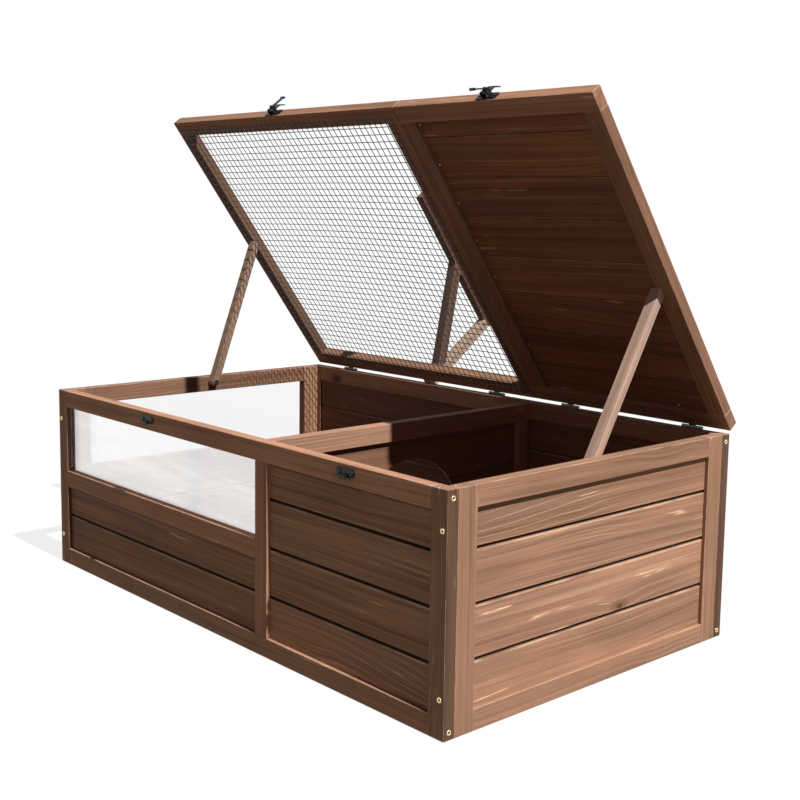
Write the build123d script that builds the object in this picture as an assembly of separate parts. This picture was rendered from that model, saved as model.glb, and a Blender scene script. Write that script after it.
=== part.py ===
from build123d import *
import math
import os

# Box: outside length, depth and height in millimetres
LENGTH = 960.0
DEPTH = 572.0
HEIGHT = 304.0

# Frame stock: width seen from outside, thickness, and the eased edge
STOCK_W = 28.0
STOCK_T = 18.0
SIDE_STILE_W = 32.0
EASE = 1.0

# Shadow-gap boards held in a groove of the frames
BOARD_T = 9.0
BOARD_RECESS = 6.0
BOARD_PITCH = 69.0
FIRST_SEAM = 87.0
SEAM_GAP = 4.0
TONGUE_T = 3.0
TONGUE_IN = 3.0
TONGUE_SLACK = 0.2
GROOVE_DEPTH = 6.0
GROOVE_ENTRY = 5.0
GROOVE_SLACK = 0.1

# Window bay: height of the sill rail's foot, and the clear pane
SILL_Z = 137.0
PANE_T = 3.0

# Mullion of the front frame, and the divider behind it, a little to its left
MULLION_X = 114.0
DIVIDER_SHIFT = 15.0
FLOOR_T = 6.0
DIVIDER_DROP = 3.0
DIVIDER_PANEL_T = 5.0
DOOR_Y = 5.0
DOOR_R = 105.0
DOOR_SPRING_Z = 135.0
DOOR_SILL_Z = 36.0

# Lids: opening angle as modelled, gap over the rim when shut, split and board layout
LID_OPEN = 53.5
LID_GAP = 2.0
LID_SPLIT_X = 112.0
LID_SPLIT_GAP = 1.0
LID_BOARD_PITCH = 71.5
LID_FIRST_SEAM = 84.5
LID_SEAM_GAP = 1.2
LID_BOARD_RECESS = 2.0

# Wire mesh under the frame of the left lid
MESH_T = 1.2
MESH_LAP = 15.0
MESH_STRIP = 2.0
MESH_COLUMNS = 17
MESH_ROWS = 16

# Butt hinges on the back faces
HINGE_LONG = 36.0
KNUCKLE_R = 2.2
PIN_R = 1.1
PIN_SLACK = 0.05
LEAF_T = 1.5
LEAF_TALL = 14.0
KNUCKLE_GAP = 0.4
KNUCKLE_CLEAR = 0.5
KNUCKLE_COUNT = 3
LEFT_HINGE_INSET = 98.0
RIGHT_HINGE_INSET = 66.0

# Props: section, screw and the run of each one
PROP_W = 13.0
PROP_T = 17.0
PROP_SIDE_GAP = 0.5
PROP_TIP_GAP = 0.3
PROP_SCREW_R = 2.5
PROP_SCREW_SLACK = 0.08
PROP_HEAD_R = 5.0
PROP_HEAD_T = 2.0
LEFT_PIVOT_Y = 14.0
LEFT_PIVOT_DOWN = 10.0
LEFT_TIP_V = 303.0
RIGHT_PIVOT_Y = 1.0
RIGHT_PIVOT_DOWN = 14.0
RIGHT_TIP_V = 257.0

# Lamp bracket on the back edge of the left lid
LAMP_X = -164.0
LAMP_STOCK = 18.0
LAMP_POST_TALL = 177.0
LAMP_ARM_REACH = 283.0
LAMP_BRACE_FOOT = 36.0
LAMP_BRACE_RUN = 126.0

# Toggle latches on the front edges of the lids
LATCH_W = 36.0
LATCH_FOOT = 2.0
LATCH_TALL = 14.0
LATCH_PLATE_T = 1.5
LATCH_EAR_X = 6.0
LATCH_EAR_T = 1.5
LATCH_EAR_OUT = 9.0
LEVER_OUT = 6.0
LEVER_UP = 8.0
LEVER_TALL = 16.0
LEVER_T = 2.0
LEVER_HANDLE = 10.0
LEVER_HANDLE_LEAN = 33.0
LEVER_PIN_R = 1.2
LEVER_HUB_R = 2.6
HOOK_OUT = 10.5
HOOK_UP = 12.0
HOOK_LONG = 26.0
HOOK_T = 2.0
HOOK_PIN_R = 1.0
HOOK_HUB_R = 2.0
HOOK_SWING = 150.0
LATCH_SLACK = 0.05
LATCH_SIDE_GAP = 0.4
KEEPER_W = 36.0
KEEPER_TALL = 12.0
KEEPER_SCREW_X = 12.0
KEEPER_SCREW_R = 3.6
KEEPER_SCREW_T = 2.2
KEEPER_DROP = 5.0
KEEPER_OUT = 7.0

# Screw heads on the stiles
SCREW_R = 3.5
SCREW_T = 0.8
SCREW_END = 50.0

# Derived planes
HALF_L = LENGTH / 2
HALF_D = DEPTH / 2
INNER_L = HALF_L - STOCK_T
INNER_D = HALF_D - STOCK_T
LID_Z = HEIGHT + LID_GAP
HINGE_Y = HALF_D + KNUCKLE_R + KNUCKLE_CLEAR
HINGE_Z = HEIGHT + LID_GAP / 2
HINGE_AXIS = Axis((0, HINGE_Y, HINGE_Z), (1, 0, 0))
LEFT_LID_X = (-HALF_L, LID_SPLIT_X - LID_SPLIT_GAP / 2)
RIGHT_LID_X = (LID_SPLIT_X + LID_SPLIT_GAP / 2, HALF_L)

parts = {}


def block(x0, x1, y0, y1, z0, z1, ease=EASE):
    solid = Pos((x0 + x1) / 2, (y0 + y1) / 2, (z0 + z1) / 2) * Box(x1 - x0, y1 - y0, z1 - z0)
    if ease > 0:
        solid = fillet(solid.edges(), ease)
    return solid


def rod(x0, x1, y, z, radius):
    return Pos((x0 + x1) / 2, y, z) * Rot(0, 90, 0) * Cylinder(radius, x1 - x0)


def plate_yz(points, x0, x1):
    outline = Polyline(*points, close=True)
    face = make_face(Plane.YZ * outline)
    return Pos(x0, 0, 0) * extrude(face, x1 - x0, dir=(1, 0, 0))


def board_row(a0, a1, z0, z1, y0, seams, gap):
    """Boards lying along X, one above the other, with a tongue across each gap."""
    lows = [z0] + [s + gap / 2 for s in seams]
    highs = [s - gap / 2 for s in seams] + [z1]
    y1 = y0 + BOARD_T
    tongue_y0 = y0 + (BOARD_T - TONGUE_T) / 2
    tongue_y1 = tongue_y0 + TONGUE_T
    solids = []
    for index, (low, high) in enumerate(zip(lows, highs)):
        board = block(a0, a1, y0, y1, low, high, 0.8)
        if index < len(seams):
            top = high + gap + TONGUE_IN
            board = board + block(a0, a1, tongue_y0, tongue_y1, high - 1, top, 0)
        if index > 0:
            groove_top = low + TONGUE_IN + TONGUE_SLACK
            groove_y0 = tongue_y0 - TONGUE_SLACK
            groove_y1 = tongue_y1 + TONGUE_SLACK
            board = board - block(a0 - 1, a1 + 1, groove_y0, groove_y1, low - 1, groove_top, 0)
        solids.append(board)
    return solids


def seams_between(z0, z1, first, pitch):
    seams = []
    seam = first
    while seam < z1 - SEAM_GAP - GROOVE_DEPTH:
        if seam > z0 + SEAM_GAP:
            seams.append(seam)
        seam = seam + pitch
    return seams


def groove(a0, a1, z0, z1, y0, thick):
    return block(a0 - GROOVE_DEPTH, a1 + GROOVE_DEPTH, y0 - GROOVE_SLACK, y0 + thick + GROOVE_SLACK,
                 z0 - GROOVE_DEPTH, z1 + GROOVE_DEPTH, 0)


def wall(width, stile, post_x, window_left):
    """One frame seen from outside: X across, outer face at Y 0, inner face at Y STOCK_T."""
    half = width / 2
    top = HEIGHT - STOCK_W
    low = STOCK_W
    sill_top = SILL_Z + STOCK_W
    pane_y = (STOCK_T - PANE_T) / 2
    bays = [(-half + stile, half - stile)]
    if post_x is not None:
        bays = [(-half + stile, post_x - STOCK_W / 2), (post_x + STOCK_W / 2, half - stile)]
    wood = {}
    wood["near_stile"] = block(-half, -half + stile, 0, STOCK_T, 0, HEIGHT)
    wood["far_stile"] = block(half - stile, half, 0, STOCK_T, 0, HEIGHT)
    wood["top_rail"] = block(-half + stile, half - stile, 0, STOCK_T, top, HEIGHT)
    wood["bottom_rail"] = block(-half + stile, half - stile, 0, STOCK_T, 0, low)
    if post_x is not None:
        wood["mullion"] = block(bays[0][1], bays[1][0], 0, STOCK_T, low, top)
    if window_left:
        wood["sill_rail"] = block(bays[0][0], bays[0][1], 0, STOCK_T, SILL_Z, sill_top)
    cuts = []
    fill = {}
    for index, (a0, a1) in enumerate(bays):
        high = top
        if window_left and index == 0:
            high = SILL_Z
            cuts.append(groove(a0, a1, sill_top, top, pane_y, PANE_T))
            fill["window"] = [block(a0 - GROOVE_ENTRY, a1 + GROOVE_ENTRY, pane_y, pane_y + PANE_T,
                                    sill_top - GROOVE_ENTRY, top + GROOVE_ENTRY, 0)]
        cuts.append(groove(a0, a1, low, high, BOARD_RECESS, BOARD_T))
        seams = seams_between(low, high, FIRST_SEAM, BOARD_PITCH)
        name = "boards" if len(bays) == 1 else ("left_boards", "right_boards")[index]
        fill[name] = board_row(a0 - GROOVE_ENTRY, a1 + GROOVE_ENTRY, low - GROOVE_ENTRY,
                               high + GROOVE_ENTRY, BOARD_RECESS, seams, SEAM_GAP)
    for key in wood:
        for cut in cuts:
            wood[key] = wood[key] - cut
    return wood, fill


def add(name, shape, place=None):
    solids = shape if isinstance(shape, list) else [shape]
    moved = []
    for solid in solids:
        moved.extend((place * solid if place is not None else solid).solids())
    parts[name] = moved[0] if len(moved) == 1 else Compound(children=moved)


def opened(shape):
    return shape.rotate(HINGE_AXIS, -LID_OPEN)


def add_opened(name, shape):
    solids = shape if isinstance(shape, list) else [shape]
    add(name, [opened(solid) for solid in solids])


# Front frame, seen from -Y
wood, fill = wall(LENGTH, STOCK_W, MULLION_X, True)
front = Pos(0, -HALF_D, 0)
add("front_left_stile", wood["near_stile"], front)
add("front_right_stile", wood["far_stile"], front)
add("front_top_rail", wood["top_rail"], front)
add("front_bottom_rail", wood["bottom_rail"], front)
add("front_mullion", wood["mullion"], front)
add("front_sill_rail", wood["sill_rail"], front)
add("front_window", fill["window"], front)
add("front_left_boards", fill["left_boards"], front)
add("front_right_boards", fill["right_boards"], front)

# Side frames stand between the front and the back frame
side_width = DEPTH - 2 * STOCK_T
wood, fill = wall(side_width, SIDE_STILE_W, None, False)
right = Pos(HALF_L, 0, 0) * Rot(0, 0, 90)
add("right_front_stile", wood["near_stile"], right)
add("right_back_stile", wood["far_stile"], right)
add("right_top_rail", wood["top_rail"], right)
add("right_bottom_rail", wood["bottom_rail"], right)
add("right_boards", fill["boards"], right)

wood, fill = wall(side_width, SIDE_STILE_W, None, True)
left = Pos(-HALF_L, 0, 0) * Rot(0, 0, -90)
add("left_back_stile", wood["near_stile"], left)
add("left_front_stile", wood["far_stile"], left)
add("left_top_rail", wood["top_rail"], left)
add("left_bottom_rail", wood["bottom_rail"], left)
add("left_sill_rail", wood["sill_rail"], left)
add("left_window", fill["window"], left)
add("left_boards", fill["boards"], left)

# Back frame, boarded over its full length
wood, fill = wall(LENGTH, STOCK_W, None, False)
back = Pos(0, HALF_D, 0) * Rot(0, 0, 180)
add("back_right_stile", wood["near_stile"], back)
add("back_left_stile", wood["far_stile"], back)
add("back_top_rail", wood["top_rail"], back)
add("back_bottom_rail", wood["bottom_rail"], back)
add("back_boards", fill["boards"], back)

# Floor let in between the bottom rails
add("floor_panel", block(-INNER_L, INNER_L, -INNER_D, INNER_D, 0, FLOOR_T, 0))

# Divider with its arched doorway
divider_x = MULLION_X - DIVIDER_SHIFT
div_x0 = divider_x - STOCK_T / 2
div_x1 = divider_x + STOCK_T / 2
div_top = HEIGHT - DIVIDER_DROP
div_low = div_top - STOCK_W
add("divider_top_rail", block(div_x0, div_x1, -INNER_D, INNER_D, div_low, div_top))
add("divider_front_stile",
    block(div_x0, div_x1, -INNER_D, -INNER_D + STOCK_W, FLOOR_T, div_low))
add("divider_back_stile",
    block(div_x0, div_x1, INNER_D - STOCK_W, INNER_D, FLOOR_T, div_low))
panel_x0 = divider_x - DIVIDER_PANEL_T / 2
panel_x1 = divider_x + DIVIDER_PANEL_T / 2
panel = block(panel_x0, panel_x1, -INNER_D + STOCK_W, INNER_D - STOCK_W, FLOOR_T, div_low, 0)
door = block(panel_x0 - 1, panel_x1 + 1, DOOR_Y - DOOR_R, DOOR_Y + DOOR_R,
             DOOR_SILL_Z, DOOR_SPRING_Z, 0)
door = door + rod(panel_x0 - 1, panel_x1 + 1, DOOR_Y, DOOR_SPRING_Z, DOOR_R)
low_half = block(panel_x0 - 2, panel_x1 + 2, -HALF_D, HALF_D, -DOOR_R, DOOR_SILL_Z, 0)
add("divider_panel", panel - (door - low_half))

# Lid frames, laid shut and then swung open
for side, (x0, x1) in (("left", LEFT_LID_X), ("right", RIGHT_LID_X)):
    z1 = LID_Z + STOCK_T
    frame = {}
    frame["front_rail"] = block(x0, x1, -HALF_D, -HALF_D + STOCK_W, LID_Z, z1)
    frame["back_rail"] = block(x0, x1, HALF_D - STOCK_W, HALF_D, LID_Z, z1)
    inner_y = HALF_D - STOCK_W
    frame["left_stile"] = block(x0, x0 + STOCK_W, -inner_y, inner_y, LID_Z, z1)
    frame["right_stile"] = block(x1 - STOCK_W, x1, -inner_y, inner_y, LID_Z, z1)
    bay_x0 = x0 + STOCK_W
    bay_x1 = x1 - STOCK_W
    if side == "right":
        board_y0 = LID_BOARD_RECESS
        seams = seams_between(STOCK_W, DEPTH - STOCK_W, LID_FIRST_SEAM, LID_BOARD_PITCH)
        seams = sorted(DEPTH - seam for seam in seams)
        boards = board_row(bay_x0 - GROOVE_ENTRY, bay_x1 + GROOVE_ENTRY, STOCK_W - GROOVE_ENTRY,
                           DEPTH - STOCK_W + GROOVE_ENTRY, board_y0, seams, LID_SEAM_GAP)
        slot = groove(bay_x0, bay_x1, STOCK_W, DEPTH - STOCK_W, board_y0, BOARD_T)
        lay = Pos(0, -HALF_D, z1) * Rot(-90, 0, 0)
        add_opened("right_lid_boards", [lay * board for board in boards])
        for key in frame:
            frame[key] = frame[key] - lay * slot
    for key in frame:
        add_opened(side + "_lid_" + key, frame[key])

# Wire mesh: a stand-in sheet with square gaps under the left frame
mesh_x0 = LEFT_LID_X[0] + STOCK_W - MESH_LAP
mesh_x1 = LEFT_LID_X[1] - STOCK_W + MESH_LAP
mesh_y = HALF_D - STOCK_W + MESH_LAP
pitch_x = (mesh_x1 - mesh_x0 - MESH_STRIP) / MESH_COLUMNS
pitch_y = (2 * mesh_y - MESH_STRIP) / MESH_ROWS
gaps = GridLocations(pitch_x, pitch_y, MESH_COLUMNS, MESH_ROWS)
sheet = Rectangle(mesh_x1 - mesh_x0, 2 * mesh_y)
sheet = sheet - gaps * Rectangle(pitch_x - MESH_STRIP, pitch_y - MESH_STRIP)
mesh = Pos((mesh_x0 + mesh_x1) / 2, 0, LID_Z - MESH_T) * extrude(sheet, MESH_T)
add_opened("left_lid_mesh", mesh)


def knuckles(x_mid, odd):
    """Knuckle tubes of one leaf; odd picks the middle ones."""
    tall = HINGE_LONG / KNUCKLE_COUNT
    spans = []
    for index in range(KNUCKLE_COUNT):
        start = x_mid - HINGE_LONG / 2 + index * tall
        if (index % 2 == 1) == odd:
            spans.append((start + KNUCKLE_GAP / 2, start + tall - KNUCKLE_GAP / 2))
    return spans


def leaf(x_mid, odd):
    """A leaf on the back face: the odd one goes up on the lid, the other down on the box."""
    reach = KNUCKLE_R + 0.6
    y0 = HALF_D
    y1 = HALF_D + LEAF_T
    if odd:
        body = block(x_mid - HINGE_LONG / 2, x_mid + HINGE_LONG / 2, y0, y1,
                     HINGE_Z + reach, HINGE_Z + reach + LEAF_TALL - 1, 0)
    else:
        body = block(x_mid - HINGE_LONG / 2, x_mid + HINGE_LONG / 2, y0, y1,
                     HINGE_Z - reach - LEAF_TALL, HINGE_Z - reach, 0)
    for a0, a1 in knuckles(x_mid, odd):
        tube = rod(a0, a1, HINGE_Y, HINGE_Z, KNUCKLE_R)
        if odd:
            neck = block(a0, a1, y0, y1, HINGE_Z + LID_GAP / 2, HINGE_Z + reach + 1, 0)
            tie = block(a0, a1, y0, HINGE_Y, HINGE_Z + LID_GAP / 2, HINGE_Z + KNUCKLE_R * 0.8, 0)
        else:
            neck = block(a0, a1, y0, y1, HINGE_Z - reach - 1, HINGE_Z - LID_GAP / 2, 0)
            tie = block(a0, a1, y0, HINGE_Y, HINGE_Z - KNUCKLE_R * 0.8, HINGE_Z - LID_GAP / 2, 0)
        body = body + tube + neck + tie
    bore = rod(x_mid - HINGE_LONG, x_mid + HINGE_LONG, HINGE_Y, HINGE_Z, PIN_R + PIN_SLACK)
    return body - bore


left_hinges = (LEFT_LID_X[0] + LEFT_HINGE_INSET, LEFT_LID_X[1] - LEFT_HINGE_INSET)
right_hinges = (RIGHT_LID_X[0] + RIGHT_HINGE_INSET, RIGHT_LID_X[1] - RIGHT_HINGE_INSET)
all_hinges = left_hinges + right_hinges
add("hinge_box_leaves", [leaf(x, False) for x in all_hinges])
add_opened("left_lid_hinge_leaves", [leaf(x, True) for x in left_hinges])
add_opened("right_lid_hinge_leaves", [leaf(x, True) for x in right_hinges])
pins = []
for x in all_hinges:
    pins.append(rod(x - HINGE_LONG / 2, x + HINGE_LONG / 2, HINGE_Y, HINGE_Z, PIN_R))
add("hinge_pins", pins)

# Lamp bracket: post on the lid's back edge, arm over the mesh, brace in the corner
lamp_x0 = LAMP_X - LAMP_STOCK / 2
lamp_x1 = LAMP_X + LAMP_STOCK / 2
arm_z = LID_Z + LAMP_POST_TALL
add_opened("lamp_post", block(lamp_x0, lamp_x1, HALF_D, HALF_D + LAMP_STOCK, LID_Z, arm_z))
add_opened("lamp_arm", block(lamp_x0, lamp_x1, HALF_D - LAMP_ARM_REACH, HALF_D + LAMP_STOCK,
                             arm_z, arm_z + LAMP_STOCK))
brace_rise = LAMP_POST_TALL - LAMP_BRACE_FOOT
slope = math.atan2(brace_rise, LAMP_BRACE_RUN)
half_foot = LAMP_STOCK / 2 / math.cos(slope)
half_head = LAMP_STOCK / 2 / math.sin(slope)
foot_z = LID_Z + LAMP_BRACE_FOOT
head_y = HALF_D - LAMP_BRACE_RUN
brace_points = [(HALF_D, foot_z - half_foot), (HALF_D, foot_z + half_foot),
                (head_y + half_head, arm_z), (head_y - half_head, arm_z)]
add_opened("lamp_brace", plate_yz(brace_points, lamp_x0, lamp_x1))


def prop(pivot_y, pivot_z, tip_v, under, x0, x1):
    """A stick from its screw to the underside of the open lid, its tip cut to lie along the lid."""
    angle = math.radians(LID_OPEN)
    along = (-math.cos(angle), math.sin(angle))
    outward = (math.sin(angle), math.cos(angle))
    corner_y = HALF_D - HINGE_Y
    corner_z = LID_Z - HINGE_Z
    edge_y = HINGE_Y + corner_y * math.cos(angle) + corner_z * math.sin(angle)
    edge_z = HINGE_Z - corner_y * math.sin(angle) + corner_z * math.cos(angle)
    tip_y = edge_y + along[0] * tip_v - outward[0] * under
    tip_z = edge_z + along[1] * tip_v - outward[1] * under
    lean = math.atan2(tip_z - pivot_z, tip_y - pivot_y)
    reach = math.hypot(tip_z - pivot_z, tip_y - pivot_y)
    run = (math.cos(lean), math.sin(lean))
    side = (-math.sin(lean), math.cos(lean))
    cut = (outward[0] * side[0] + outward[1] * side[1]) / (outward[0] * run[0] + outward[1] * run[1])
    ends = []
    for offset, far in ((-PROP_W / 2, False), (PROP_W / 2, False), (PROP_W / 2, True), (-PROP_W / 2, True)):
        length = reach - offset * cut if far else 0.0
        ends.append((pivot_y + run[0] * length + side[0] * offset,
                     pivot_z + run[1] * length + side[1] * offset))
    stick = plate_yz(ends, x0, x1) + rod(x0, x1, pivot_y, pivot_z, PROP_W / 2)
    stick = fillet(stick.faces().filter_by(Axis.X).edges(), EASE)
    print("prop lean", math.degrees(lean), "reach", reach, "tip", tip_y, tip_z)
    return stick - rod(x0 - 1, x1 + 1, pivot_y, pivot_z, PROP_SCREW_R + PROP_SCREW_SLACK)


prop_out = INNER_L - PROP_SIDE_GAP
prop_in = prop_out - PROP_T
left_under = MESH_T + PROP_TIP_GAP
right_under = PROP_TIP_GAP
left_pivot_z = HEIGHT - LEFT_PIVOT_DOWN
right_pivot_z = HEIGHT - RIGHT_PIVOT_DOWN
add("left_prop", prop(LEFT_PIVOT_Y, left_pivot_z, LEFT_TIP_V, left_under, -prop_out, -prop_in))
add("right_prop", prop(RIGHT_PIVOT_Y, right_pivot_z, RIGHT_TIP_V, right_under, prop_in, prop_out))
head_in = prop_in - PROP_SIDE_GAP
screws = []
for sign, y, z in ((-1, LEFT_PIVOT_Y, left_pivot_z), (1, RIGHT_PIVOT_Y, right_pivot_z)):
    shank = rod(head_in, INNER_L, y, z, PROP_SCREW_R)
    head = rod(head_in - PROP_HEAD_T, head_in, y, z, PROP_HEAD_R)
    head = fillet(head.edges().sort_by(Axis.X)[0], PROP_HEAD_T * 0.5)
    screw = shank + head
    screws.append(screw if sign > 0 else mirror(screw, Plane.YZ))
add("prop_screws", screws)


def latch_point(out, up):
    return (-HALF_D - out, LID_Z + up)


def latch_block(x, half, out0, out1, up0, up1, ease=0):
    return block(x - half, x + half, -HALF_D - out1, -HALF_D - out0, LID_Z + up0, LID_Z + up1, ease)


def latch(side, x, hook_turn):
    """Base, lever and hook, with the hook turned outward and down by hook_turn degrees."""
    base = latch_block(x, LATCH_W / 2, 0, LATCH_PLATE_T, LATCH_FOOT, LATCH_FOOT + LATCH_TALL)
    base = fillet(base.edges().filter_by(Axis.Y), 3)
    lever_y, lever_z = latch_point(LEVER_OUT, LEVER_UP)
    hook_y, hook_z = latch_point(HOOK_OUT, HOOK_UP)
    ear_end = LATCH_EAR_X + LATCH_EAR_T
    for sign in (-1, 1):
        middle = x + sign * (LATCH_EAR_X + LATCH_EAR_T / 2)
        base = base + latch_block(middle, LATCH_EAR_T / 2, 1, LATCH_EAR_OUT, LEVER_UP - 4, LEVER_UP + 4)
        nail_x = x + sign * (LATCH_W / 2 - 4)
        nail = Pos(nail_x, -HALF_D - LATCH_PLATE_T - 0.5, LID_Z + LEVER_UP + 1)
        base = base + nail * Rot(90, 0, 0) * Cylinder(2.2, 1.2)
    base = base + rod(x - ear_end, x + ear_end, lever_y, lever_z, LEVER_PIN_R)
    add_opened(side + "_latch_base", base)

    hub_half = LATCH_EAR_X - LATCH_SIDE_GAP
    arm_half = hub_half - 0.6
    lug_in = arm_half - 1.8
    arm_top = LEVER_UP + LEVER_TALL
    lever = rod(x - hub_half, x + hub_half, lever_y, lever_z, LEVER_HUB_R)
    lever = lever + latch_block(x, arm_half, LEVER_OUT - LEVER_T / 2, LEVER_OUT + LEVER_T / 2,
                                LEVER_UP, arm_top)
    lean = math.radians(LEVER_HANDLE_LEAN)
    run_out = -LEVER_HANDLE * math.sin(lean)
    run_up = LEVER_HANDLE * math.cos(lean)
    handle = []
    for half, far in ((-LEVER_T / 2, 0), (LEVER_T / 2, 0), (LEVER_T / 2, 1), (-LEVER_T / 2, 1)):
        handle.append(latch_point(LEVER_OUT + half + run_out * far, arm_top - 0.5 + run_up * far))
    lever = lever + plate_yz(handle, x - arm_half - 1, x + arm_half + 1)
    for sign in (-1, 1):
        middle = x + sign * (lug_in + 0.9)
        lever = lever + latch_block(middle, 0.9, LEVER_OUT, HOOK_OUT + HOOK_HUB_R,
                                    HOOK_UP - HOOK_HUB_R, HOOK_UP + HOOK_HUB_R)
    lever = lever + rod(x - lug_in - 1, x + lug_in + 1, hook_y, hook_z, HOOK_PIN_R)
    lever = lever - rod(x - hub_half - 1, x + hub_half + 1, lever_y, lever_z, LEVER_PIN_R + LATCH_SLACK)
    add_opened(side + "_latch_lever", lever)

    hook_half = lug_in - LATCH_SIDE_GAP
    hook = rod(x - hook_half, x + hook_half, hook_y, hook_z, HOOK_HUB_R)
    hook = hook + latch_block(x, hook_half, HOOK_OUT - HOOK_T / 2, HOOK_OUT + HOOK_T / 2,
                              HOOK_UP, HOOK_UP + HOOK_LONG)
    claw_y, claw_z = latch_point(HOOK_OUT, HOOK_UP + HOOK_LONG)
    hook = hook + rod(x - hook_half - 1.5, x + hook_half + 1.5, claw_y, claw_z, HOOK_HUB_R)
    hook = hook - rod(x - hook_half - 1, x + hook_half + 1, hook_y, hook_z, HOOK_PIN_R + LATCH_SLACK)
    hook = hook.rotate(Axis((0, hook_y, hook_z), (1, 0, 0)), hook_turn)
    add_opened(side + "_latch_hook", hook)


left_latch_x = (LEFT_LID_X[0] + LEFT_LID_X[1]) / 2
right_latch_x = (RIGHT_LID_X[0] + RIGHT_LID_X[1]) / 2
latch("left", left_latch_x, 0.0)
latch("right", right_latch_x, HOOK_SWING)

# Keepers on the front top rail
keepers = []
for x in (left_latch_x, right_latch_x):
    z1 = HEIGHT - KEEPER_DROP
    z0 = z1 - KEEPER_TALL
    keeper = block(x - KEEPER_W / 2, x + KEEPER_W / 2, -HALF_D - LATCH_PLATE_T, -HALF_D, z0, z1, 0)
    keeper = fillet(keeper.edges().filter_by(Axis.Y), KEEPER_TALL * 0.42)
    for sign in (-1, 1):
        dome = Cylinder(KEEPER_SCREW_R, KEEPER_SCREW_T)
        dome = fillet(dome.edges().sort_by(Axis.Z)[-1], KEEPER_SCREW_T * 0.6)
        spot = Pos(x + sign * KEEPER_SCREW_X, -HALF_D - LATCH_PLATE_T - KEEPER_SCREW_T / 2 + 0.2, (z0 + z1) / 2)
        keeper = keeper + spot * Rot(90, 0, 0) * dome
    keeper = keeper + block(x - 6, x + 6, -HALF_D - KEEPER_OUT, -HALF_D - 1, z0 + 1, z0 + 3.5, 0)
    keeper = keeper + block(x - 6, x + 6, -HALF_D - KEEPER_OUT, -HALF_D - KEEPER_OUT + 2,
                            z0 - 1.5, z0 + 3.5, 0)
    keepers.append(keeper)
add("latch_keepers", keepers)

# Screw heads: two on each front stile face, two on each stile edge at the corners
heads = []
for sign in (-1, 1):
    for z in (SCREW_END, HEIGHT - SCREW_END):
        head = Pos(sign * (HALF_L - 8), -HALF_D - SCREW_T / 2, z) * Rot(90, 0, 0) * Cylinder(SCREW_R, SCREW_T)
        heads.append(head)
    for y in (-HALF_D + STOCK_T / 2, HALF_D - STOCK_T / 2):
        for z in (10.0, HEIGHT - 11.0):
            x0 = HALF_L if sign > 0 else -HALF_L - SCREW_T
            heads.append(rod(x0, x0 + SCREW_T, y, z, SCREW_R))
add("frame_screws", heads)

os.makedirs("parts", exist_ok=True)
for name, shape in parts.items():
    export_step(shape, "parts/" + name + ".step")
print(len(parts), "parts; hinge axis", HINGE_Y, HINGE_Z)
for x in (left_latch_x, right_latch_x):
    print("latch x", x)
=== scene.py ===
import math
import bmesh
import bpy
from mathutils import Matrix, Vector


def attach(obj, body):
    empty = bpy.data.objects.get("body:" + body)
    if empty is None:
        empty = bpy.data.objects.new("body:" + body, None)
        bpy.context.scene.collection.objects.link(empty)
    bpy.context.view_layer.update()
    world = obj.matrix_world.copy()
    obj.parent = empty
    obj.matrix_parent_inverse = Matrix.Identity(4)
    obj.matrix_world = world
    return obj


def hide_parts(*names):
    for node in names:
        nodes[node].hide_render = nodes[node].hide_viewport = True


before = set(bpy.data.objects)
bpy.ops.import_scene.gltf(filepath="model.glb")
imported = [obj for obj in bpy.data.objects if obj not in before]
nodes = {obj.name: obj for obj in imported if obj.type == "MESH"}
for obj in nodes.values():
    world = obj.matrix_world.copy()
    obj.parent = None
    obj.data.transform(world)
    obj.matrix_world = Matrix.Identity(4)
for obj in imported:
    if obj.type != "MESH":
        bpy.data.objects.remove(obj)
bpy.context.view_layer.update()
scene = bpy.context.scene
scene.view_settings.view_transform = "Standard"

# Sizes repeated from the solids, in metres
HALF_L = 0.480
HALF_D = 0.286
HEIGHT = 0.304
STOCK_W = 0.028
RAIL_FOOT = 0.276
SILL_FOOT = 0.137
BOARDS_FACE = 0.276
LID_Z = 0.306
LID_OPEN = math.radians(53.5)
RIGHT_LID_X = 0.1125
LID_BOARDS_Z = 0.007
HINGE = Vector((0, 0.2887, 0.305))
HINGE_X = {"left_lid": (-0.382, 0.0135), "right_lid": (0.1785, 0.414)}
LEAF_FACE = HALF_D + 0.0015
LEAF_MIDDLE = 0.0095
PROP_LEAN = {"left_prop": 70.121, "right_prop": 59.204}
MESH_X = (-0.467, 0.0985)
MESH_V = (0.013, 0.559)
LID_LAP = 0.015

# Wire mesh: squares, wire, the two layers' levels under the frame, and the bow into the opening
SQUARE = 0.0127
WIRE_R = 0.0007
LONG_WIRE_Z = -0.0005
CROSS_WIRE_Z = -0.0008
WIRE_BOW = 0.005
WIRE_RIPPLE = 0.12
WIRE_BENDS = 16
BAR_SIDES = 6

# Staples: half length, wire, legs, stand-off, level, and their row along each side of the mesh
STAPLE_HALF = 0.0045
STAPLE_R = 0.00032
STAPLE_LEG = 0.0006
STAPLE_OUT = 0.0001
STAPLE_Z = -0.00135
STAPLE_GAPS = 9
STAPLE_END = 0.02
STAPLE_EDGE = 0.006

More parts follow.
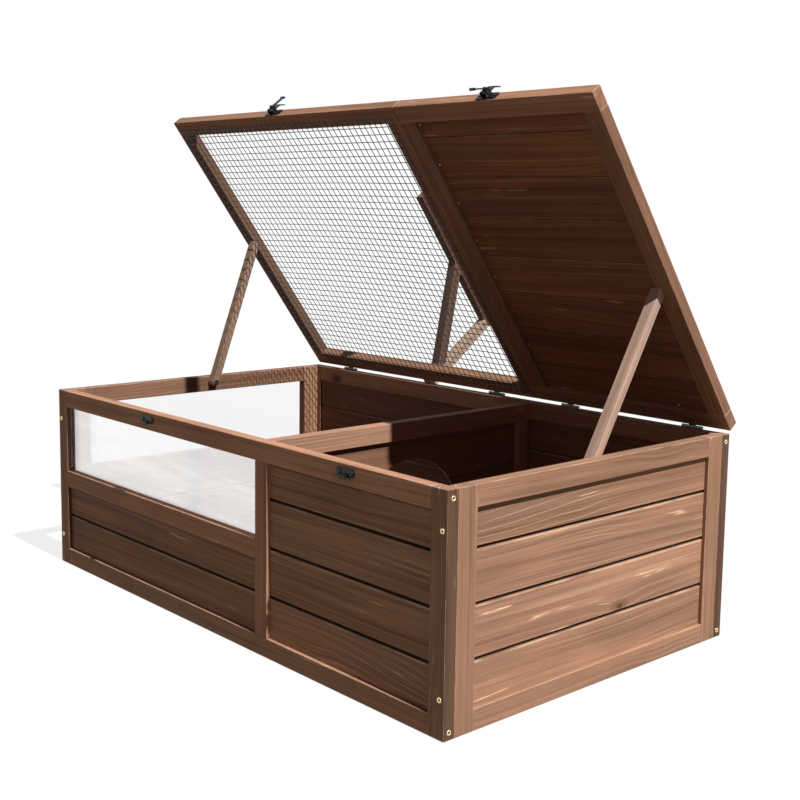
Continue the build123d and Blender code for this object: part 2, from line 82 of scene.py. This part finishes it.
# Screws and nails: profiles of radius and height, and their places
SOCKET_HEAD = ((0.0036, 0.0), (0.0036, 0.0003), (0.0031, 0.00075),
               (0.0025, 0.0008), (0.0020, 0.0006), (0.0018, 0.0001))
NAIL_HEAD = ((0.0017, 0.0), (0.0017, 0.0002), (0.0012, 0.0006), (0.0005, 0.0008))
HINGE_HEAD = ((0.0026, 0.0), (0.0026, 0.0002), (0.0020, 0.0006), (0.0010, 0.0008), (0.0008, 0.0003))
FRONT_SCREW_X = HALF_L - 0.008
FRONT_SCREW_Z = (0.050, HEIGHT - 0.050)
SIDE_SCREW_Y = (-HALF_D + 0.009, HALF_D - 0.009)
SIDE_SCREW_Z = (0.010, HEIGHT - 0.011)
HINGE_SCREW_STEPS = (-0.012, 0.0, 0.012)
NAIL_X = RIGHT_LID_X + STOCK_W + 0.0019
SIDE_NAILS_V = [0.049 + 0.0695 * k for k in range(8)]
BACK_NAILS_X = [NAIL_X + 0.035 + 0.11 * k for k in range(3)]
BACK_NAILS_V = 0.030

# Floor, background, key light and camera
FLOOR_SIZE = 30.0
FLOOR_Z = -0.0006
FLOOR_GLOW = 0.84
WORLD_FILL = 0.06
KEY_FROM = Vector((0.58, -0.015, 0.81)).normalized()
KEY_ENERGY = 4.9
KEY_SPREAD = math.radians(1.0)
CAMERA_AT = (1.458838, -1.252672, 0.627712)
CAMERA_RIGHT = Vector((0.664124, 0.747497, 0.013703))
CAMERA_UP = Vector((-0.103414, 0.073696, 0.991904))
CAMERA_LENS = 55.148
CAMERA_SHIFT = (0.01406, -0.04938)

X = Vector((1, 0, 0))
Y = Vector((0, 1, 0))
Z = Vector((0, 0, 1))
SWING = Matrix.Rotation(-LID_OPEN, 4, "X")
SLOPE = SWING @ Y
FACE = SWING @ Z
UPHILL = -SLOPE


def on_lid(x, v, n):
    """A point of an open lid: v from its back edge, n above its underside."""
    shut = Vector((x, HALF_D - v, LID_Z + n)) - HINGE
    return SWING @ shut + HINGE


# Node helpers
def material(name):
    mat = bpy.data.materials.new(name)
    mat.use_nodes = True
    tree = mat.node_tree
    return mat, tree, tree.nodes["Principled BSDF"]


def node(tree, kind, settings=None, **sockets):
    """A new node; a socket is given by name, or by number as i0, i1 and so on."""
    made = tree.nodes.new(kind)
    for key, value in (settings or {}).items():
        setattr(made, key, value)
    for key, value in sockets.items():
        by_number = key[0] == "i" and key[1:].isdigit()
        socket = made.inputs[int(key[1:]) if by_number else key]
        if isinstance(value, bpy.types.NodeSocket):
            tree.links.new(value, socket)
        else:
            socket.default_value = value
    return made


def maths(tree, operation, a, b=0.0, c=0.0):
    return node(tree, "ShaderNodeMath", {"operation": operation}, i0=a, i1=b, i2=c).outputs[0]


def dot(tree, vector, axis):
    made = node(tree, "ShaderNodeVectorMath", {"operation": "DOT_PRODUCT"}, i0=vector, i1=tuple(axis))
    return made.outputs["Value"]


def xyz(tree, a, b, c):
    return node(tree, "ShaderNodeCombineXYZ", None, i0=a, i1=b, i2=c).outputs[0]


def noise(tree, vector, scale, detail=3.0, roughness=0.5):
    made = node(tree, "ShaderNodeTexNoise", None, Vector=vector, Scale=scale,
                Detail=detail, Roughness=roughness)
    return made.outputs["Fac"]


def span(tree, value, low, high, to_low=0.0, to_high=1.0):
    made = node(tree, "ShaderNodeMapRange", {"interpolation_type": "SMOOTHSTEP"},
                i0=value, i1=low, i2=high, i3=to_low, i4=to_high)
    return made.outputs[0]


def blend(tree, factor, a, b, mode="MIX"):
    made = node(tree, "ShaderNodeMix", {"data_type": "RGBA", "blend_type": mode}, i0=factor, i6=a, i7=b)
    return made.outputs[2]


def rgb(r, g, b):
    return (r, g, b, 1.0)


def seen_directly(tree):
    """1 for what the camera sees, also in a mirror or through a pane, and 0 for light on the object."""
    path = node(tree, "ShaderNodeLightPath").outputs
    return maths(tree, "MAXIMUM", path["Is Camera Ray"],
                 maths(tree, "MAXIMUM", path["Is Glossy Ray"], path["Is Transmission Ray"]))


# Stains, before a material's own tone
BASE_STAIN = (0.400, 0.206, 0.122)
DARK_STAIN = (0.160, 0.076, 0.043)
WARM_STAIN = (0.490, 0.250, 0.146)
COOL_STAIN = (0.330, 0.184, 0.118)
PALE_STAIN = (0.740, 0.450, 0.270)
KNOT_STAIN = (0.085, 0.036, 0.019)
LIP_HIGHLIGHT = (0.84, 0.53, 0.34)

# Colours that keep clear of the tone: bare wood, the painted shade in a groove, the painted shade under a
# rail, the painted shade on inner faces
RUBBED = rgb(0.62, 0.43, 0.31)
GROOVE_SHADE = rgb(0.016, 0.008, 0.005)
SHADE_UNDER_RAIL = rgb(0.030, 0.015, 0.009)
SHADE_UNDER_RAIL_DEPTH = 0.007
INNER_SHADE = rgb(0.62, 0.62, 0.66)

# Edges of a drawn groove of painted shade, and the lip below it with its painted highlight, in metres
GROOVE_IN = 0.0004
GROOVE_OUT = 0.0012
LIP_DROP = 0.0016
LIP_CORE = 0.0004
LIP_FADE = 0.0020
MOST_BRIGHT = 1.3


def seam_marks(tree, place, pitch, half):
    """Shares of the painted shade in the groove at each seam and of the painted highlight on the lip under
    it.
    """
    off_seam = maths(tree, "PINGPONG", place, 0.5)
    groove = span(tree, off_seam, (half - GROOVE_IN) / pitch, (half + GROOVE_OUT) / pitch, 1.0, 0.0)
    above = maths(tree, "SUBTRACT", place, maths(tree, "ROUND", place))
    from_lip = maths(tree, "ABSOLUTE", maths(tree, "ADD", above, (half + LIP_DROP) / pitch))
    return groove, span(tree, from_lip, LIP_CORE / pitch, LIP_FADE / pitch, 1.0, 0.0)


def edge_share(tree, turn, directions):
    """How far a face turns away from the stick's own three directions, as its rounded edges do."""
    parts = [maths(tree, "ABSOLUTE", dot(tree, turn, axis)) for axis in directions]
    flat = maths(tree, "MAXIMUM", maths(tree, "MAXIMUM", parts[0], parts[1]), parts[2])
    return span(tree, flat, 0.86, 0.985, 1.0, 0.0)


def wood(name, along, wide, tone=(1, 1, 1), seed=0.0, figure=1.0,
         seams=None, outside=None, dim=None, top=None):
    """Stained softwood with its grain along one direction.

    figure: strength of the rings and streaks.
    seams: direction across the boards, place of the first seam, pitch, half width of a groove drawn in
    painted shade.
    outside: direction and distance past which a face is an outer one; faces short of it get painted shade.
    dim: direction of the faces that get painted shade, and what is left of their colour.
    top: height of the rail whose shade is painted on the uppermost board.
    """
    mat, tree, shader = material(name)
    deep = along.cross(wide)
    local = node(tree, "ShaderNodeTexCoord")
    coord = local.outputs["Object"]
    chance = node(tree, "ShaderNodeObjectInfo").outputs["Random"]
    groove = lip = beyond = None
    if seams:
        across, first, pitch, half = seams
        place = maths(tree, "MULTIPLY_ADD", dot(tree, coord, across), 1 / pitch, -first / pitch)
        board = maths(tree, "MULTIPLY_ADD", maths(tree, "FLOOR", place), 0.377, chance)
        chance = node(tree, "ShaderNodeTexWhiteNoise", {"noise_dimensions": "1D"}, W=board).outputs["Value"]
        if half:
            groove, lip = seam_marks(tree, place, pitch, half)
        if outside:
            beyond = maths(tree, "GREATER_THAN", dot(tree, coord, outside[0]), outside[1])
            groove = maths(tree, "MULTIPLY", groove, beyond)
    shift = maths(tree, "MULTIPLY_ADD", chance, 11.0, seed)
    a = maths(tree, "ADD", dot(tree, coord, along), shift)
    b = maths(tree, "MULTIPLY_ADD", shift, 0.37, dot(tree, coord, wide + deep * 0.8))
    c = dot(tree, coord, deep)

    def grain(run, width, depth, detail=3.0, rough=0.5, lateral=None):
        """Noise in the stick's own directions, as cycles per metre along, across and through it."""
        return noise(tree, xyz(tree, maths(tree, "MULTIPLY", a, run),
                               maths(tree, "MULTIPLY", lateral or b, width),
                               maths(tree, "MULTIPLY", c, depth)), 1.0, detail, rough)

    def stain(colour, gain=1.0):
        return rgb(*[part * gain * share for part, share in zip(colour, tone)])

    # Knots: rare points that the grain flows round
    cell = node(tree, "ShaderNodeTexVoronoi", {"feature": "F1"},
                Vector=xyz(tree, maths(tree, "MULTIPLY", a, 0.5), b, c), Scale=8.0, Randomness=1.0)
    near = cell.outputs["Distance"]
    knot = maths(tree, "MAXIMUM", span(tree, near, 0.050, 0.062, 0.85, 0.0),
                 span(tree, near, 0.06, 0.11, 0.40, 0.0))
    round_knot = span(tree, near, 0.05, 0.30, 1.0, 0.0)

    # Rings wander slowly along the stick and bow out round a knot
    drift = grain(run=1.6, width=7.0, depth=7.0, detail=1.0)
    lane = maths(tree, "ADD", maths(tree, "MULTIPLY_ADD", drift, 0.03, b),
                 maths(tree, "MULTIPLY", round_knot, 0.006))
    fine = grain(run=5.0, width=520.0, depth=260.0, rough=0.6, lateral=lane)
    streak = grain(run=1.2, width=70.0, depth=40.0, rough=0.55, lateral=lane)
    blotch = grain(run=4.5, width=11.0, depth=11.0)
    faded = grain(run=2.0, width=20.0, depth=20.0, detail=2.0)
    rings = grain(run=1.6, width=210.0, depth=130.0, detail=2.0, rough=0.6, lateral=lane)
    fibre = grain(run=60.0, width=1300.0, depth=1300.0, detail=1.0)

    dark = stain(DARK_STAIN)
    pale = stain(PALE_STAIN, min(figure, MOST_BRIGHT))
    colour = blend(tree, span(tree, blotch, 0.38, 0.68), stain(BASE_STAIN), stain(WARM_STAIN))
    colour = blend(tree, span(tree, faded, 0.46, 0.70, 0.0, 0.8), colour, stain(COOL_STAIN))
    colour = blend(tree, span(tree, streak, 0.46, 0.74, 0.0, 0.45 * figure), colour, dark)
    colour = blend(tree, span(tree, rings, 0.52, 0.74, 0.0, 0.34 * figure), colour, dark)
    colour = blend(tree, span(tree, rings, 0.46, 0.28, 0.0, 0.18 * figure), colour, pale)
    colour = blend(tree, span(tree, fine, 0.46, 0.74, 0.0, 0.50), colour, dark)
    colour = blend(tree, span(tree, fibre, 0.55, 0.80, 0.0, 0.25), colour, dark)

    # Thin light ring lines in places, and sparse flame-shaped light patches
    ring_place = maths(tree, "MULTIPLY", maths(tree, "MULTIPLY_ADD", drift, 0.06, lane), 130.0)
    line = span(tree, maths(tree, "PINGPONG", ring_place, 0.5), 0.015, 0.06, 1.0, 0.0)
    where = span(tree, grain(run=2.4, width=12.0, depth=12.0, detail=2.0), 0.54, 0.68)
    colour = blend(tree, maths(tree, "MULTIPLY", maths(tree, "MULTIPLY", line, where), 0.60), colour, pale)
    flame = span(tree, grain(run=6.0, width=75.0, depth=50.0, rough=0.6, lateral=lane), 0.665, 0.73)
    colour = blend(tree, maths(tree, "MULTIPLY", flame, 0.85), colour, pale)
    colour = blend(tree, knot, colour, stain(KNOT_STAIN))
    each = maths(tree, "MULTIPLY_ADD", chance, 0.28, 0.88)
    colour = node(tree, "ShaderNodeHueSaturation", None, Hue=0.5, Saturation=0.95, Value=each,
                  Color=colour).outputs["Color"]

    # Rubbed edges and pale specks
    turn = local.outputs["Normal"]
    uneven = span(tree, grain(run=30.0, width=60.0, depth=60.0), 0.40, 0.64, 0.10, 0.80)
    rub = maths(tree, "MULTIPLY", edge_share(tree, turn, (along, wide, deep)), uneven)
    speck = span(tree, grain(run=300.0, width=300.0, depth=300.0, detail=1.0), 0.785, 0.815, 0.0, 0.75)
    colour = blend(tree, maths(tree, "MAXIMUM", rub, speck), colour, RUBBED)

    # Painted shade in the seams, on inner faces, under a rail and on the faces of one direction, and a
    # painted highlight on the lip under each seam
    if lip:
        # Painted highlight on the lip under each seam, in patches, then the painted shade in the groove
        lip_patches = span(tree, grain(run=14.0, width=40.0, depth=40.0, detail=2.0), 0.36, 0.62, 0.15, 0.90)
        colour = blend(tree, maths(tree, "MULTIPLY", lip, lip_patches), colour, stain(LIP_HIGHLIGHT))
        colour = blend(tree, groove, colour, GROOVE_SHADE)
    if beyond:
        colour = blend(tree, beyond, blend(tree, 1.0, colour, INNER_SHADE, "MULTIPLY"), colour)
    if top:
        rail_shade = span(tree, dot(tree, coord, Z), top - SHADE_UNDER_RAIL_DEPTH, top, 0.0, 0.75)
        colour = blend(tree, rail_shade, colour, SHADE_UNDER_RAIL)
    if dim:
        facing = span(tree, maths(tree, "ABSOLUTE", dot(tree, turn, dim[0])), 0.6, 0.8)
        left = rgb(dim[1], dim[1], dim[1])
        colour = blend(tree, facing, colour, blend(tree, 1.0, colour, left, "MULTIPLY"))
    tree.links.new(colour, shader.inputs["Base Color"])

    tree.links.new(maths(tree, "MULTIPLY_ADD", fine, -0.14, 0.70), shader.inputs["Roughness"])
    shader.inputs["Specular IOR Level"].default_value = 0.06
    height = maths(tree, "MULTIPLY_ADD", fibre, 0.5, fine)
    bump = node(tree, "ShaderNodeBump", None, Strength=0.30, Distance=0.0004, Height=height)
    tree.links.new(bump.outputs[0], shader.inputs["Normal"])
    return mat


METAL_SPECK = 0.12


def metal(name, colour, metallic, rough, shine=0.5):
    """Metal or enamel with a faint mottle and a fine uneven polish."""
    mat, tree, shader = material(name)
    coord = node(tree, "ShaderNodeTexCoord").outputs["Object"]
    fine = noise(tree, coord, 900.0)
    broad = noise(tree, coord, 60.0)
    low = rgb(*[part * (1 - METAL_SPECK) for part in colour])
    high = rgb(*[min(1.0, part * (1 + METAL_SPECK)) for part in colour])
    tree.links.new(blend(tree, broad, low, high), shader.inputs["Base Color"])
    tree.links.new(span(tree, fine, 0.3, 0.7, rough * 0.8, rough * 1.25), shader.inputs["Roughness"])
    shader.inputs["Metallic"].default_value = metallic
    shader.inputs["Specular IOR Level"].default_value = shine
    bump = node(tree, "ShaderNodeBump", None, Strength=0.15, Distance=0.0002, Height=fine)
    tree.links.new(bump.outputs[0], shader.inputs["Normal"])
    return mat


def sheet(name, glare):
    """Clear sheet that mirrors the pale surroundings by the given share, with faint scuffs along it."""
    mat, tree, shader = material(name)
    coord = node(tree, "ShaderNodeTexCoord").outputs["Object"]
    stretched = [maths(tree, "MULTIPLY", dot(tree, coord, axis), cycles)
                 for axis, cycles in ((X, 5.0), (Y, 5.0), (Z, 45.0))]
    scuff = noise(tree, xyz(tree, *stretched), 1.0, 4.0)
    tint = blend(tree, span(tree, scuff, 0.35, 0.65), rgb(0.96, 0.965, 0.97), rgb(1.0, 1.0, 1.0))
    tree.links.new(tint, shader.inputs["Base Color"])
    tree.links.new(span(tree, scuff, 0.35, 0.7, 0.06, 0.16), shader.inputs["Roughness"])
    shader.inputs["Metallic"].default_value = 1.0
    tree.links.new(span(tree, scuff, 0.45, 0.75, glare, min(glare * 1.25, 1.0)), shader.inputs["Alpha"])
    return mat


def stick(name, lean, tone):
    """Wood of a prop that leans by so many degrees from the level."""
    along = Vector((0, math.cos(math.radians(lean)), math.sin(math.radians(lean))))
    return wood(name, along, X, tone=tone, seed=lean)


# Materials, with their seams and the directions that are not those of an axis or a lid
WALL_SEAM = (Z, 0.087, 0.069, 0.0017)
LID_SEAM = (UPHILL, on_lid(0, 0.0845, 0).dot(UPHILL), 0.0715, 0.0)
CORNER = X + Y * 0.001
BRACE_RUN = (FACE * 0.745 - SLOPE * 0.667).normalized()

WOOD_X = wood("stained_wood_x", X, Z)
WOOD_Y = wood("stained_wood_y", Y, Z)
WOOD_Z = wood("stained_wood_z", Z, CORNER)
# Corner stiles: painted shade on their faces towards either side, down to 0.36 of their colour
CORNER_WOOD = wood("corner_wood", Z, CORNER, seed=6.0, dim=(X, 0.36))
# Front rails and mullion: lighter copies of the wood, as painted light against the shaded boards beside
# them
FRONT_RAIL = wood("front_rail_wood", X, Z, tone=(1.28, 1.24, 1.22), seed=7.0)
MULLION_WOOD = wood("mullion_wood", Z, X, tone=(1.22, 1.18, 1.16), seed=8.0)
LEFT_RAIL = wood("stained_wood_left", Y, Z, tone=(0.84, 0.80, 0.78), seed=1.0)
WOOD_SLOPE = wood("stained_wood_slope", SLOPE, X, tone=(0.66, 0.63, 0.60))
# Left lid's left stile and lamp arm: a darker copy of the lid wood, as painted shade
DARK_SLOPE = wood("dark_wood_slope", SLOPE, X, tone=(0.50, 0.50, 0.50), seed=4.0)
WOOD_LID = wood("stained_wood_lid", X, SLOPE, tone=(0.82, 0.78, 0.74))
# Lamp post: a pale copy of the wood as painted sunlight; lamp brace: a dark copy as painted shade
POST_WOOD = wood("post_wood", FACE, X, tone=(1.3, 1.7, 2.1))
BRACE_WOOD = wood("brace_wood", BRACE_RUN, X, tone=(0.40, 0.42, 0.46))
LEFT_PROP = stick("prop_wood_left", PROP_LEAN["left_prop"], (1.0, 1.2, 1.4))
RIGHT_PROP = stick("prop_wood_right", PROP_LEAN["right_prop"], (1.5, 1.85, 2.3))
# Divider and floor inside the compartments: darker copies of the wood, as painted shade
PLY = wood("stained_plywood", Y, Z, tone=(0.60, 0.58, 0.56), seed=3.0)
FLOOR_PLY = wood("floor_plywood", X, Y, tone=(0.40, 0.38, 0.36), seed=5.0)
# Front boards: painted shade under the rail above them
BOARDS_X = wood("boards_x", X, Z, figure=1.5, seams=WALL_SEAM, top=RAIL_FOOT)
BOARDS_Y = wood("boards_y", Y, Z, figure=1.25, seams=WALL_SEAM)
# Boards under the window: a little darker, as painted shade beside the front frame, and painted shade under
# the sill rail
SILL_BOARDS = wood("boards_sill", X, Z, tone=(0.94, 0.93, 0.92), seed=9.0, figure=1.5,
                   seams=WALL_SEAM, top=SILL_FOOT)
# Back boards: painted shade on their inner faces
BACK_BOARDS = wood("boards_back", X, Z, tone=(0.85, 0.82, 0.78), seed=2.0,
                   seams=WALL_SEAM, outside=(Y, BOARDS_FACE))
# Lid boards, seen from their shaded underside: a darker, redder copy of the wood, whose darkness is painted
# shade
BOARDS_LID = wood("boards_lid", X, SLOPE, tone=(0.58, 0.45, 0.35), figure=1.6, seams=LID_SEAM)
BLACK = metal("black_enamel", (0.008, 0.009, 0.010), 0.0, 0.26, shine=0.22)
# Zinc plate darkened far below its own colour, as painted shade
ZINC = metal("zinc_plate", (0.12, 0.118, 0.112), 1.0, 0.48)
# Wire far darker than zinc, as painted shade on the mesh seen from its shaded side
WIRE = metal("zinc_wire", (0.045, 0.048, 0.05), 0.3, 0.5)
BRASS = metal("brass_screw", (0.76, 0.60, 0.34), 1.0, 0.30)
NAIL = metal("dull_nail", (0.42, 0.40, 0.37), 1.0, 0.4)
# Dark metal for the prop screws, and painted shade in the sockets of the other screws
DARK_METAL_AND_SOCKET_SHADE = metal("dark_metal_and_socket_shade", (0.03, 0.022, 0.015), 0.0, 0.7)
FRONT_PANE = sheet("glazed_sheet_front", 0.56)
SIDE_PANE = sheet("glazed_sheet_side", 0.05)

# Materials of single pieces; the rest go by the words in their names
BY_NAME = {
    "front_window": FRONT_PANE,
    "left_window": SIDE_PANE,
    "prop_screws": DARK_METAL_AND_SOCKET_SHADE,
    "frame_screws": BRASS,
    "floor_panel": FLOOR_PLY,
    "divider_panel": PLY,
    "divider_top_rail": WOOD_Y,
    "lamp_post": POST_WOOD,
    "lamp_arm": DARK_SLOPE,
    "lamp_brace": BRACE_WOOD,
    "left_lid_left_stile": DARK_SLOPE,
    "left_prop": LEFT_PROP,
    "right_prop": RIGHT_PROP,
    "right_lid_boards": BOARDS_LID,
    "back_boards": BACK_BOARDS,
    "front_left_boards": SILL_BOARDS,
    "front_mullion": MULLION_WOOD,
    "front_top_rail": FRONT_RAIL,
    "front_sill_rail": FRONT_RAIL,
}


def choose(name):
    if name in BY_NAME:
        return BY_NAME[name]
    if "hinge" in name:
        return ZINC
    if "latch" in name:
        return BLACK
    if name.endswith("boards"):
        return BOARDS_Y if name.startswith(("left", "right")) else BOARDS_X
    if "_lid_" in name:
        return WOOD_SLOPE if "stile" in name else WOOD_LID
    if "stile" in name:
        return CORNER_WOOD if name.startswith(("front", "back")) else WOOD_Z
    if name.startswith("left"):
        return LEFT_RAIL
    return WOOD_Y if name.startswith("right") else WOOD_X


def dress(obj, mat):
    obj.data.materials.clear()
    obj.data.materials.append(mat)


for name, obj in nodes.items():
    dress(obj, choose(name))


# New pieces
def piece(name, mesh, body, mat):
    obj = bpy.data.objects.new(name, mesh)
    scene.collection.objects.link(obj)
    obj.data.materials.append(mat)
    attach(obj, body)
    return obj


def finished(bm, name):
    bmesh.ops.recalc_face_normals(bm, faces=bm.faces)
    for face in bm.faces:
        face.smooth = True
    mesh = bpy.data.meshes.new(name)
    bm.to_mesh(mesh)
    bm.free()
    return mesh


def ring(bm, centre, axis, radius, sides):
    """Points round an axis."""
    first = axis.cross(X if abs(axis.dot(X)) < 0.9 else Z).normalized()
    second = axis.cross(first)
    turns = [2 * math.pi * k / sides for k in range(sides)]
    spokes = [first * math.cos(turn) + second * math.sin(turn) for turn in turns]
    return [bm.verts.new(centre + spoke * radius) for spoke in spokes]


def skin(bm, rings):
    """Faces from ring to ring and a cap at both ends, of which the last one is given back."""
    for one, two in zip(rings, rings[1:]):
        for k in range(len(one)):
            after = (k + 1) % len(one)
            bm.faces.new((one[k], one[after], two[after], two[k]))
    bm.faces.new(list(reversed(rings[0])))
    return bm.faces.new(rings[-1])


def tube(bm, points, radius):
    """A round bar through the points."""
    rings = []
    for index, point in enumerate(points):
        before = points[max(index - 1, 0)]
        after = points[min(index + 1, len(points) - 1)]
        rings.append(ring(bm, point, (after - before).normalized(), radius, BAR_SIDES))
    skin(bm, rings)


def turned(bm, foot, axis, profile, sides):
    """A head: a profile of radius and height swept round an axis, with its last cap given back."""
    return skin(bm, [ring(bm, foot + axis * height, axis, radius, sides) for radius, height in profile])


# Welded half-inch wire, one layer crossing the other, lapped on the lid frame
def bowed(x, v, n):
    """A point of the mesh, which bows up into the lid's opening between the frame pieces."""
    across = (x - MESH_X[0] - LID_LAP) / (MESH_X[1] - MESH_X[0] - 2 * LID_LAP)
    down = (v - MESH_V[0] - LID_LAP) / (MESH_V[1] - MESH_V[0] - 2 * LID_LAP)
    if not (0 < across < 1 and 0 < down < 1):
        return on_lid(x, v, n)
    rise = math.sin(math.pi * across) * math.sin(math.pi * down)
    ripple = WIRE_RIPPLE * math.sin(7 * across + 4 * down) * math.sin(9 * down)
    return on_lid(x, v, n + WIRE_BOW * max(rise * (1 + ripple), 0.0))


def stops(ends):
    """Both ends, the frame's two inner edges and even steps between these."""
    low, high = ends[0] + LID_LAP, ends[1] - LID_LAP
    return [ends[0]] + [low + (high - low) * k / WIRE_BENDS for k in range(WIRE_BENDS + 1)] + [ends[1]]


def wires(ends):
    """Places of the wires, whole squares apart and centred between both ends."""
    count = int((ends[1] - ends[0]) / SQUARE)
    start = (ends[0] + ends[1] - count * SQUARE) / 2
    return [start + k * SQUARE for k in range(count + 1)]


bm = bmesh.new()
for x in wires(MESH_X):
    tube(bm, [bowed(x, v, LONG_WIRE_Z) for v in stops(MESH_V)], WIRE_R)
for v in wires(MESH_V):
    tube(bm, [bowed(x, v, CROSS_WIRE_Z) for x in stops(MESH_X)], WIRE_R)
mesh_piece = piece("wire_mesh", finished(bm, "wire_mesh"), "left_lid", WIRE)
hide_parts("left_lid_mesh")


# Staples that hold the mesh on the frame
def staple(bm, middle, along):
    half = along * STAPLE_HALF
    leg = -FACE * STAPLE_LEG
    out = -FACE * STAPLE_OUT
    tube(bm, [middle - half - leg, middle - half + out, middle + half + out, middle + half - leg], STAPLE_R)


bm = bmesh.new()
for k in range(STAPLE_GAPS + 1):
    x = MESH_X[0] + STAPLE_END + k * (MESH_X[1] - MESH_X[0] - 2 * STAPLE_END) / STAPLE_GAPS
    for v in (MESH_V[0] + STAPLE_EDGE, MESH_V[1] - STAPLE_EDGE):
        staple(bm, on_lid(x, v, STAPLE_Z), X)
    v = MESH_V[0] + STAPLE_END + k * (MESH_V[1] - MESH_V[0] - 2 * STAPLE_END) / STAPLE_GAPS
    for x in (MESH_X[0] + STAPLE_EDGE, MESH_X[1] - STAPLE_EDGE):
        staple(bm, on_lid(x, v, STAPLE_Z), SLOPE)
piece("mesh_staples", finished(bm, "mesh_staples"), "left_lid", ZINC)

# Screws of the box frame, each with painted shade in its socket
bm = bmesh.new()
for side in (-1, 1):
    for z in FRONT_SCREW_Z:
        turned(bm, Vector((side * FRONT_SCREW_X, -HALF_D, z)), -Y, SOCKET_HEAD, 20).material_index = 1
    for y in SIDE_SCREW_Y:
        for z in SIDE_SCREW_Z:
            turned(bm, Vector((side * HALF_L, y, z)), X * side, SOCKET_HEAD, 20).material_index = 1
heads = piece("screw_heads", finished(bm, "screw_heads"), "hutch", BRASS)
heads.data.materials.append(DARK_METAL_AND_SOCKET_SHADE)
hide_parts("frame_screws")

# Nails in the boards of the right lid
bm = bmesh.new()
for v in SIDE_NAILS_V:
    turned(bm, on_lid(NAIL_X, v, LID_BOARDS_Z), -FACE, NAIL_HEAD, 12)
for x in BACK_NAILS_X:
    turned(bm, on_lid(x, BACK_NAILS_V, LID_BOARDS_Z), -FACE, NAIL_HEAD, 12)
piece("lid_nails", finished(bm, "lid_nails"), "right_lid", NAIL)


# Screws of the hinge leaves, on the back faces, with painted shade in their sockets
def hinge_screws(name, body, heads):
    bm = bmesh.new()
    for foot, axis in heads:
        turned(bm, foot, axis, HINGE_HEAD, 16).material_index = 1
    obj = piece(name, finished(bm, name), body, NAIL)
    obj.data.materials.append(DARK_METAL_AND_SOCKET_SHADE)


box_heads = []
for lid, places in HINGE_X.items():
    rows = [x + step for x in places for step in HINGE_SCREW_STEPS]
    box_heads += [(Vector((x, LEAF_FACE, HINGE.z - LEAF_MIDDLE)), Y) for x in rows]
    up = HINGE.z + LEAF_MIDDLE - LID_Z
    hinge_screws(lid + "_hinge_screws", lid, [(on_lid(x, HALF_D - LEAF_FACE, up), SLOPE) for x in rows])
hinge_screws("box_hinge_screws", "hutch", box_heads)

# Pale floor, which keeps the shadow and throws little light back
bpy.ops.mesh.primitive_plane_add(size=FLOOR_SIZE, location=(0, 0, FLOOR_Z))
ground = bpy.context.object
ground.name = "ground"
mat, tree, shader = material("pale_floor")
shader.inputs["Roughness"].default_value = 0.9
seen = seen_directly(tree)
floor_colour = blend(tree, seen, rgb(0.16, 0.135, 0.115), rgb(0.80, 0.80, 0.80))
tree.links.new(floor_colour, shader.inputs["Base Color"])
glow = node(tree, "ShaderNodeEmission", None, Color=rgb(1, 1, 1), Strength=1.0)
share = maths(tree, "MULTIPLY", seen, FLOOR_GLOW)
mixed = node(tree, "ShaderNodeMixShader", None, i0=share, i1=shader.outputs[0], i2=glow.outputs[0])
tree.links.new(mixed.outputs[0], tree.nodes["Material Output"].inputs["Surface"])
dress(ground, mat)

# White background, of which a small share lights the object
world = bpy.data.worlds.new("studio")
scene.world = world
world.use_nodes = True
tree = world.node_tree
strength = maths(tree, "MULTIPLY_ADD", seen_directly(tree), 1 - WORLD_FILL, WORLD_FILL)
tree.links.new(strength, tree.nodes["Background"].inputs["Strength"])
tree.nodes["Background"].inputs["Color"].default_value = rgb(1, 1, 1)

# One key light from above on the right
key = bpy.data.lights.new("key", "SUN")
key.energy = KEY_ENERGY
key.angle = KEY_SPREAD
key_obj = bpy.data.objects.new("key", key)
key_obj.rotation_mode = "QUATERNION"
key_obj.rotation_quaternion = (-KEY_FROM).to_track_quat("-Z", "Y")
scene.collection.objects.link(key_obj)

# Camera at the photograph's viewpoint
camera = bpy.data.cameras.new("camera")
camera.sensor_fit = "HORIZONTAL"
camera.sensor_width = 36.0
camera.lens = CAMERA_LENS
camera.shift_x, camera.shift_y = CAMERA_SHIFT
camera.clip_end = 100.0
camera_obj = bpy.data.objects.new("camera", camera)
place = Matrix((CAMERA_RIGHT, CAMERA_UP, CAMERA_RIGHT.cross(CAMERA_UP))).transposed().to_4x4()
place.translation = CAMERA_AT
camera_obj.matrix_world = place
scene.collection.objects.link(camera_obj)
scene.camera = camera_obj
